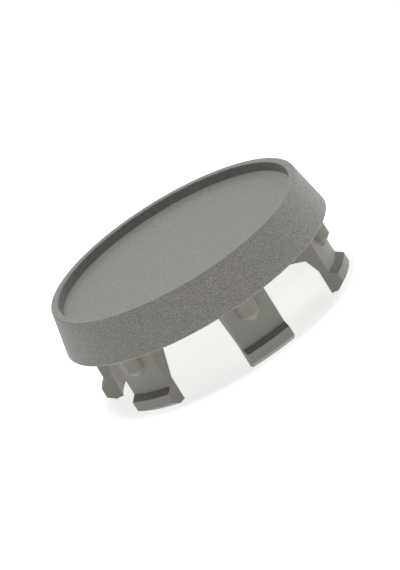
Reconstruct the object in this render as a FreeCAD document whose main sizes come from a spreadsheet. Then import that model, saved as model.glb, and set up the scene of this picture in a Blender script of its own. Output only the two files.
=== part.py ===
import FreeCAD, Part
import os
import Sketcher

# A snap-in wheel center cap, moulded as one piece. Millimetres and degrees, +Z out of the face.
# The origin is on the cap's axis, in the seat plane, where the skirt's lower edge meets the wheel.

# Driving dimensions. Depths and drops are counted down from the seat plane.
SIZES = {
    # conical skirt with its raised rim
    "seat_diameter": 60.0,
    "rim_diameter": 56.4,
    "skirt_height": 9.46,
    "skirt_wall": 1.8,
    "rim_width": 1.56,
    # shallow round recess in the face
    "recess_depth": 1.88,
    "recess_draft": 10.0,
    "disc_wall": 2.2,
    # snap clips, cut from one ring round the axis
    "clip_count": 6,
    "clip_width": 10.35,
    "clip_wall": 1.65,
    "buttress_depth": 8.2,
    "buttress_angle": 21.0,
    # hook at the foot of each clip
    "hook_diameter": 55.9,
    "hook_reach": 1.5,
    "ledge_depth": 9.37,
    "ledge_fall": 0.95,
    "hook_land": 2.1,
    "tip_height": 1.12,
    "tip_inset": 1.6,
    # round centring boss down the middle of each clip
    "boss_diameter": 4.45,
    "boss_drop": 5.3,
    "boss_tip_diameter": 1.1,
    "boss_bevel": 45.0,
    # edges of the rim and the seat
    "rim_round": 0.3,
    "seat_bevel": 0.2,
}

doc = FreeCAD.newDocument("wheel_center_cap")
sheet = doc.addObject("Spreadsheet::Sheet", "sizes")
for row, (alias, value) in enumerate(SIZES.items(), start=1):
    sheet.set(f"A{row}", alias)
    sheet.set(f"B{row}", str(value))
    sheet.setAlias(f"B{row}", alias)
doc.recompute()

# Expressions that several outlines share.
seat_radius = "sizes.seat_diameter / 2"
rim_radius = "sizes.rim_diameter / 2"
hook_radius = "sizes.hook_diameter / 2"
clip_radius = f"({hook_radius} - sizes.hook_reach)"
mouth_radius = f"({rim_radius} - sizes.rim_width)"
floor_height = "(sizes.skirt_height - sizes.recess_depth)"
ceiling = f"({floor_height} - sizes.disc_wall)"
half_pitch = "(180deg / sizes.clip_count)"

body = doc.addObject("PartDesign::Body", "center_cap")
body.Label = "center_cap"


def origin_feature(role):
    """The body's own origin plane or axis with this role."""
    return next(item for item in body.Origin.OriginFeatures if item.Role == role)


def outline(name, plane, corners):
    """A closed outline of straight lines, each corner held at a pair of expressions."""
    sketch = body.newObject("Sketcher::SketchObject", name)
    sketch.AttachmentSupport = [(origin_feature(plane), "")]
    sketch.MapMode = "FlatFace"
    points = [FreeCAD.Vector(*map(sketch.evalExpression, corner)) for corner in corners]
    for index, point in enumerate(points):
        sketch.addGeometry(Part.LineSegment(points[index - 1], point))
    for index, (corner, point) in enumerate(zip(corners, points)):
        following = (index + 1) % len(points)
        sketch.addConstraint(Sketcher.Constraint("Coincident", index, 2, following, 1))
        for kind, expression, place in zip(("DistanceX", "DistanceY"), corner, point):
            held = sketch.addConstraint(Sketcher.Constraint(kind, index, 2, place))
            sketch.setExpression(f"Constraints[{held}]", expression)
    return sketch


def turned(kind, name, sketch, axis="V_Axis"):
    """A Revolution or Groove of a whole turn about an axis of its own sketch."""
    feature = body.newObject(f"PartDesign::{kind}", name)
    feature.Profile = sketch
    feature.ReferenceAxis = (sketch, [axis])
    feature.Angle = 360
    return feature


def round_the_axis(name, original):
    """One copy of a feature for each clip, evenly spaced about the cap's axis."""
    pattern = body.newObject("PartDesign::PolarPattern", name)
    pattern.Originals = [original]
    pattern.Axis = (origin_feature("Z_Axis"), [""])
    pattern.Angle = 360
    pattern.setExpression("Occurrences", "sizes.clip_count")
    body.Tip = pattern


def rounded(name, radius, rings):
    """Rounds the circular edges about the cap's axis that have these radii and heights."""
    base = body.Tip
    near = Part.Precision.confusion()
    wanted = [FreeCAD.Vector(*map(base.evalExpression, ring)) for ring in rings]
    edges = []
    for number, edge in enumerate(base.Shape.Edges, start=1):
        if not isinstance(edge.Curve, Part.Circle):
            continue
        centre = edge.Curve.Center
        ring = FreeCAD.Vector(edge.Curve.Radius, centre.z)
        on_axis = FreeCAD.Vector(centre.x, centre.y).Length < near
        if on_axis and any(ring.isEqual(place, near) for place in wanted):
            edges.append(f"Edge{number}")
    feature = body.newObject("PartDesign::Fillet", name)
    feature.Base = (base, edges)
    feature.setExpression("Radius", radius)


# The face disc with a full ring below it that has the section of a clip: a buttress that thins
# towards the tip, then a hook with a sloping ledge above it and a lead-in below it.
clip_inside = f"({clip_radius} - sizes.clip_wall)"
buttress_height = f"({ceiling} + sizes.buttress_depth)"
hook_top = "(sizes.ledge_depth + sizes.ledge_fall)"
hook_bottom = f"({hook_top} + sizes.hook_land)"
tip_depth = f"({hook_bottom} + sizes.tip_height)"
clip_section = outline("clip_section", "XZ_Plane", [
    ("0", ceiling),
    (f"{clip_inside} - {buttress_height} * tan(sizes.buttress_angle * 1deg)", ceiling),
    (clip_inside, "-sizes.buttress_depth"),
    (clip_inside, f"-{tip_depth}"),
    (f"{hook_radius} - sizes.tip_inset", f"-{tip_depth}"),
    (hook_radius, f"-{hook_bottom}"),
    (hook_radius, f"-{hook_top}"),
    (clip_radius, "-sizes.ledge_depth"),
    (clip_radius, ceiling),
    (mouth_radius, ceiling),
    (mouth_radius, floor_height),
    ("0", floor_height),
])
turned("Revolution", "disc_and_clip_ring", clip_section)

# The ring is slotted up to the disc. Each gap is a wedge between two clips, with sides that run
# along them, so that every clip has parallel sides. The first clip points along +Y.
gap_apex = f"(sizes.clip_width / 2 / sin({half_pitch}))"
gap_end = f"({hook_radius} + sizes.clip_wall)"
gap_half_width = f"(({gap_end} - {gap_apex}) * tan({half_pitch}))"
gap_plan = outline("gap_plan", "XY_Plane", [
    (gap_apex, "0"),
    (gap_end, f"-{gap_half_width}"),
    (gap_end, gap_half_width),
])
gap_plan.setExpression("AttachmentOffset.Base.z", ceiling)
gap_plan.setExpression("AttachmentOffset.Rotation.Angle", f"90deg + {half_pitch}")
gap = body.newObject("PartDesign::Pocket", "gap_between_clips")
gap.Profile = gap_plan
gap.Type = "ThroughAll"
round_the_axis("gaps_between_clips", gap)

# A round boss down the outer face of each clip, bevelled at its lower end, which centres the cap
# in the wheel and ties the clip to the skirt.
boss_nose = f"({clip_radius} + sizes.boss_diameter / 2)"
boss_bevel_reach = "((sizes.boss_diameter - sizes.boss_tip_diameter) / 2)"
boss_bevel_height = f"({boss_bevel_reach} / tan(sizes.boss_bevel * 1deg))"
boss_section = outline("boss_section", "YZ_Plane", [
    (clip_radius, ceiling),
    (boss_nose, ceiling),
    (boss_nose, f"-(sizes.boss_drop - {boss_bevel_height})"),
    (f"{boss_nose} - {boss_bevel_reach}", "-sizes.boss_drop"),
    (clip_radius, "-sizes.boss_drop"),
])
boss_axis = boss_section.addGeometry(boss_section.Geometry[0], True)
boss_section.addConstraint(Sketcher.Constraint("Coincident", boss_axis, 1, 0, 1))
boss_section.addConstraint(Sketcher.Constraint("Coincident", boss_axis, 2, 0, 2))
round_the_axis("bosses", turned("Revolution", "boss", boss_section, "Axis0"))

# The skirt and rim, first as straight stock round the disc. The cone of the outside is cut after
# the bosses are on, so that none of them stands out of the skirt. The cut also bevels the seat edge.
floor_radius = f"({mouth_radius} - sizes.recess_depth * tan(sizes.recess_draft * 1deg))"
skirt_inside = f"({seat_radius} - sizes.skirt_wall)"
stock_radius = f"({seat_radius} + sizes.skirt_wall)"
flare = f"(({seat_radius} - {rim_radius}) / sizes.skirt_height)"
skirt_section = outline("skirt_section", "XZ_Plane", [
    (skirt_inside, "0"),
    (stock_radius, "0"),
    (stock_radius, "sizes.skirt_height"),
    (mouth_radius, "sizes.skirt_height"),
    (floor_radius, floor_height),
    (floor_radius, ceiling),
    (f"{skirt_inside} - {flare} * {ceiling}", ceiling),
])
turned("Revolution", "skirt_stock", skirt_section)
cut_top = "(sizes.skirt_height + sizes.skirt_wall)"
cut_radius = f"({stock_radius} + sizes.skirt_wall)"
cone_section = outline("cone_section", "XZ_Plane", [
    (f"{seat_radius} - sizes.seat_bevel", "0"),
    (f"{seat_radius} - sizes.seat_bevel", "-sizes.skirt_wall"),
    (cut_radius, "-sizes.skirt_wall"),
    (cut_radius, cut_top),
    (f"{rim_radius} - {flare} * sizes.skirt_wall", cut_top),
    (f"{seat_radius} - {flare} * sizes.seat_bevel", "sizes.seat_bevel"),
])
turned("Groove", "outer_cone", cone_section)

# Both edges of the rim are rounded.
doc.recompute()
rounded("rim_edges", "sizes.rim_round", [
    (rim_radius, "sizes.skirt_height"),
    (mouth_radius, "sizes.skirt_height"),
])
doc.recompute()

# Nothing is written unless every feature is up to date and the cap is one sound solid.
for item in doc.Objects:
    if "Invalid" in item.State or "Error" in item.State:
        raise RuntimeError(f"{item.Label} did not recompute: {item.State}")
if body.Shape.isNull() or not body.Shape.isValid() or len(body.Shape.Solids) != 1:
    raise RuntimeError(f"{body.Label} is not one valid solid")

os.makedirs("parts", exist_ok=True)
body.Shape.exportStep(f"parts/{body.Label}.step")
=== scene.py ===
import math

import bpy
import numpy as np
from mathutils import Matrix, Vector


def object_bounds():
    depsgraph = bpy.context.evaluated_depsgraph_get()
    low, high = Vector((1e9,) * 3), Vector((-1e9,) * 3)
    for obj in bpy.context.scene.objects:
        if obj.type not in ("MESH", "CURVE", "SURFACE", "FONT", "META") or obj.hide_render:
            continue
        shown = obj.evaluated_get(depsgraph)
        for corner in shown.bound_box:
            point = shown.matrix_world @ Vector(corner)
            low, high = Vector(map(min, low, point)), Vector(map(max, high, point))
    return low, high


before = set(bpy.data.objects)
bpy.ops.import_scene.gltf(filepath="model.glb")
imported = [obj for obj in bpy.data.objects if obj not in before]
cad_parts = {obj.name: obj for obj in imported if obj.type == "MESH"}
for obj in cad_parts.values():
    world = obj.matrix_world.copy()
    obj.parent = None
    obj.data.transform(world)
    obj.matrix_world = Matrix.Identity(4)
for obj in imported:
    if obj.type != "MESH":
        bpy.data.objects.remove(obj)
cad_low, cad_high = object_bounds()

# The cap
# One grey moulding with a conical skirt, a raised rim round a bare recess, and six hooked clips.
# It is injection moulded, with a grain on the faces that show on a wheel, and nearly smooth clips.

MM = 0.001
SEAT_RADIUS = 30.0 * MM
RIM_RADIUS = 28.2 * MM
RIM_HEIGHT = cad_high.z
RECESS_DEPTH = 1.88 * MM
FLOOR_HEIGHT = RIM_HEIGHT - RECESS_DEPTH
FLARE = (SEAT_RADIUS - RIM_RADIUS) / RIM_HEIGHT

# A pixel of the picture is 0.2 mm wide, and a finer grain would not show, so it is drawn this coarse.
GRAIN_SIZE = 0.18 * MM
GRAIN_DEPTH = 0.04 * MM
GRAIN_TURN = (math.radians(35), math.radians(20), 0)
# The grain is full on the skirt, weaker on the face and rim, and nearly gone on the clips.
FACE_GRAIN_SHARE = 0.65
CLIP_GRAIN_SHARE = 0.12
GRAIN_EDGE = 0.6 * MM
# How strongly the grain's height paints shade into its pits and light onto its tops.
PIT_PAINTED_SHADE = 2.7
ABS_GREY = "#8c8b86"


def linear(hex_colour):
    """The linear RGBA of an sRGB colour written as #rrggbb."""
    channels = np.array([int(hex_colour[start:start + 2], 16) for start in (1, 3, 5)]) / 255
    light = np.where(channels <= 0.04045, channels / 12.92, ((channels + 0.055) / 1.055) ** 2.4)
    return (*light.tolist(), 1.0)


def add_node(material, kind, settings=None, **inputs):
    """Adds a node with its properties, and with values or links for its inputs.

    An input goes by its socket's name, with underscores for spaces, or as _0, _1 and so on by number.
    """
    tree = material.node_tree
    made = tree.nodes.new(kind)
    for name, value in (settings or {}).items():
        setattr(made, name, value)
    for name, value in inputs.items():
        socket = made.inputs[int(name[1:]) if name[0] == "_" else name.replace("_", " ")]
        if isinstance(value, bpy.types.NodeSocket):
            tree.links.new(value, socket)
        else:
            socket.default_value = value
    return made.outputs


def grained_abs():
    """Injection-moulded ABS: an even warm grey with a dull sheen and a fine pebble grain, with
    painted shade in the grain's pits and painted light on its tops.
    """
    material = bpy.data.materials.new("grained_grey_abs")
    material.use_nodes = True
    shader = material.node_tree.nodes["Principled BSDF"]
    place = add_node(material, "ShaderNodeTexCoord")["Object"]
    axes = add_node(material, "ShaderNodeSeparateXYZ", Vector=place)
    flat = add_node(material, "ShaderNodeCombineXYZ", X=axes["X"], Y=axes["Y"])[0]
    radius = add_node(material, "ShaderNodeVectorMath", {"operation": "LENGTH"}, _0=flat)["Value"]

    # The skirt's outside is where the radius plus the flare's share of the height reaches the seat.
    cone = add_node(material, "ShaderNodeMath", {"operation": "MULTIPLY_ADD"},
                    _0=axes["Z"], _1=FLARE, _2=radius)[0]
    on_cone = add_node(material, "ShaderNodeMapRange", Value=cone,
                       From_Min=SEAT_RADIUS - GRAIN_EDGE, From_Max=SEAT_RADIUS - GRAIN_EDGE / 2,
                       To_Min=CLIP_GRAIN_SHARE, To_Max=1.0)[0]
    on_face = add_node(material, "ShaderNodeMapRange", Value=axes["Z"],
                       From_Min=FLOOR_HEIGHT - GRAIN_EDGE, From_Max=FLOOR_HEIGHT - GRAIN_EDGE / 2,
                       To_Min=0.0, To_Max=FACE_GRAIN_SHARE)[0]
    share = add_node(material, "ShaderNodeMath", {"operation": "MAXIMUM"}, _0=on_cone, _1=on_face)[0]

    # The noise is turned, because a flat face that lies along its own grid would come out smoother.
    turned = add_node(material, "ShaderNodeMapping", Vector=place, Rotation=GRAIN_TURN)[0]
    pebbles = add_node(material, "ShaderNodeTexNoise", {"noise_dimensions": "3D"}, Vector=turned,
                       Scale=1 / GRAIN_SIZE, Detail=2.0, Roughness=0.5)["Fac"]
    # The noise lies about a half, so the height lies about nothing.
    centred = add_node(material, "ShaderNodeMath", {"operation": "SUBTRACT"}, _0=pebbles, _1=0.5)[0]
    height = add_node(material, "ShaderNodeMath", {"operation": "MULTIPLY"}, _0=centred, _1=share)[0]
    bump = add_node(material, "ShaderNodeBump",
                    Strength=1.0, Distance=GRAIN_DEPTH, Height=height)["Normal"]
    material.node_tree.links.new(bump, shader.inputs["Normal"])

    # Painted shade and light: the pits are painted a little darker and the tops of the pebbles a
    # little paler, where the grain's own shade and light would fall.
    shade = add_node(material, "ShaderNodeMath", {"operation": "MULTIPLY_ADD"},
                     _0=height, _1=PIT_PAINTED_SHADE, _2=1.0)[0]
    colour = add_node(material, "ShaderNodeMixRGB", {"blend_type": "MULTIPLY"},
                      _0=1.0, _1=linear(ABS_GREY), _2=shade)[0]
    material.node_tree.links.new(colour, shader.inputs["Base Color"])
    shader.inputs["Roughness"].default_value = 0.5
    shader.inputs["IOR"].default_value = 1.53
    # The grain breaks up the gloss, so the sheen is half of what smooth ABS has.
    shader.inputs["Specular IOR Level"].default_value = 0.25
    return material


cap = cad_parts["center_cap"]
cap.data.materials.clear()
cap.data.materials.append(grained_abs())

# The light table
# A wide sheet of opal acrylic, lit from beneath, that the cap stands on with its six clip tips.
# The glow from below keeps the shadow pale and lights the skirt and the clips from beneath.

TABLE_HALF = 1.5
TABLE_GLOW = 0.88
# With the lamps' light added, the sheet is white in the picture at this strength.
TABLE_SEEN = 0.70
OPAL_WHITE = "#f2f2f2"
GLOW_TINT = "#fffcf5"
WHITE = "#ffffff"


def background_rays(material):
    """1 for rays that show the background, straight to the camera or by way of gloss or glass."""
    ray = add_node(material, "ShaderNodeLightPath")
    mirrored = add_node(material, "ShaderNodeMath", {"operation": "MAXIMUM"},
                        _0=ray["Is Glossy Ray"], _1=ray["Is Transmission Ray"])[0]
    return add_node(material, "ShaderNodeMath", {"operation": "MAXIMUM"},
                    _0=ray["Is Camera Ray"], _1=mirrored)[0]


def opal_acrylic():
    """Opal acrylic with a matt face: even white with its own glow, and clear from beneath."""
    material = bpy.data.materials.new("opal_acrylic_lit")
    material.use_nodes = True
    links = material.node_tree.links
    shader = material.node_tree.nodes["Principled BSDF"]
    shader.inputs["Base Color"].default_value = linear(OPAL_WHITE)
    shader.inputs["Roughness"].default_value = 1.0
    shader.inputs["Specular IOR Level"].default_value = 0.0
    in_picture = background_rays(material)
    tint = add_node(material, "ShaderNodeMixRGB",
                    _0=in_picture, _1=linear(GLOW_TINT), _2=linear(WHITE))[0]
    glow = add_node(material, "ShaderNodeMapRange", Value=in_picture,
                    To_Min=TABLE_GLOW, To_Max=TABLE_SEEN)[0]
    links.new(tint, shader.inputs["Emission Color"])
    links.new(glow, shader.inputs["Emission Strength"])
    beneath = add_node(material, "ShaderNodeNewGeometry")["Backfacing"]
    clear = add_node(material, "ShaderNodeBsdfTransparent")[0]
    mixed = add_node(material, "ShaderNodeMixShader", _0=beneath, _1=shader.outputs[0], _2=clear)[0]
    links.new(mixed, material.node_tree.nodes["Material Output"].inputs["Surface"])
    return material


corners = TABLE_HALF * np.array([[-1, -1], [1, -1], [1, 1], [-1, 1]])
heights = np.full(len(corners), cad_low.z)
sheet = bpy.data.meshes.new("light_table")
sheet.from_pydata(np.column_stack([corners, heights]).tolist(), [], [(0, 1, 2, 3)])
sheet.materials.append(opal_acrylic())
table = bpy.data.objects.new("light_table", sheet)
bpy.context.scene.collection.objects.link(table)

# The studio light
# Soft boxes above the cap, to its right and behind it. The front is left to the table's glow.
# They hang about the cap in a white room.

LAMP_DISTANCE = 1.0


def direction(azimuth, elevation):
    """The way out from the cap, in degrees round from the front and up from level."""
    bearing = math.radians(azimuth)
    rise = math.radians(elevation)
    reach = math.cos(rise)
    return Vector((math.sin(bearing) * reach, -math.cos(bearing) * reach, math.sin(rise)))


def softbox(name, azimuth, elevation, power, size):
    """A square area lamp that faces the cap. Watts and metres."""
    lamp = bpy.data.lights.new(name, "AREA")
    lamp.shape = "SQUARE"
    lamp.size = size
    lamp.energy = power
    hung = bpy.data.objects.new(name, lamp)
    away = direction(azimuth, elevation)
    turn = away.to_track_quat("Z", "Y").to_matrix().to_4x4()
    hung.matrix_world = Matrix.Translation(away * LAMP_DISTANCE) @ turn
    hung.visible_camera = False
    bpy.context.scene.collection.objects.link(hung)


softbox("overhead", azimuth=0, elevation=89, power=5.1, size=0.4)
softbox("ceiling", azimuth=0, elevation=89, power=1.7, size=1.0)
softbox("far_right", azimuth=115, elevation=15, power=2.0, size=0.6)
softbox("behind", azimuth=180, elevation=35, power=1.0, size=0.6)

# The room is plain white where it is seen, straight or by reflection, and gives no other light.
world = bpy.data.worlds.new("studio")
world.use_nodes = True
bpy.context.scene.world = world
background = world.node_tree.nodes["Background"]
background.inputs["Color"].default_value = linear(WHITE)
world.node_tree.links.new(background_rays(world), background.inputs["Strength"])

# The camera
# A parallel view from the photograph's angle, with the picture turned as the photograph is.
# The middle of the rim lies on the same pixel as in the photograph.

# Degrees round from the front, up from level, and of the picture's own turn.
AZIMUTH = -11.86
ELEVATION = 17.8
ROLL = 31.85
PIXELS_PER_METRE = 5011.6
PICTURE = np.array([400, 570])
RIM_CENTRE_PIXEL = np.array([172.98, 240.43])
DISTANCE = 0.5

camera = bpy.data.cameras.new("camera")
camera.type = "ORTHO"
camera.ortho_scale = float(PICTURE.max()) / PIXELS_PER_METRE
back = direction(AZIMUTH, ELEVATION)
level = direction(AZIMUTH + 90, 0)
upright = back.cross(level)
roll = math.radians(ROLL)
right = math.cos(roll) * level - math.sin(roll) * upright
up = math.sin(roll) * level + math.cos(roll) * upright
across, down = ((PICTURE / 2 - RIM_CENTRE_PIXEL) / PIXELS_PER_METRE).tolist()
aim = Vector((0, 0, RIM_HEIGHT)) + right * across - up * down
turn = Matrix((right, up, back)).transposed().to_4x4()
stand = bpy.data.objects.new("camera", camera)
stand.matrix_world = Matrix.Translation(aim + back * DISTANCE) @ turn
bpy.context.scene.collection.objects.link(stand)
bpy.context.scene.camera = stand
bpy.context.scene.view_settings.view_transform = "Standard"
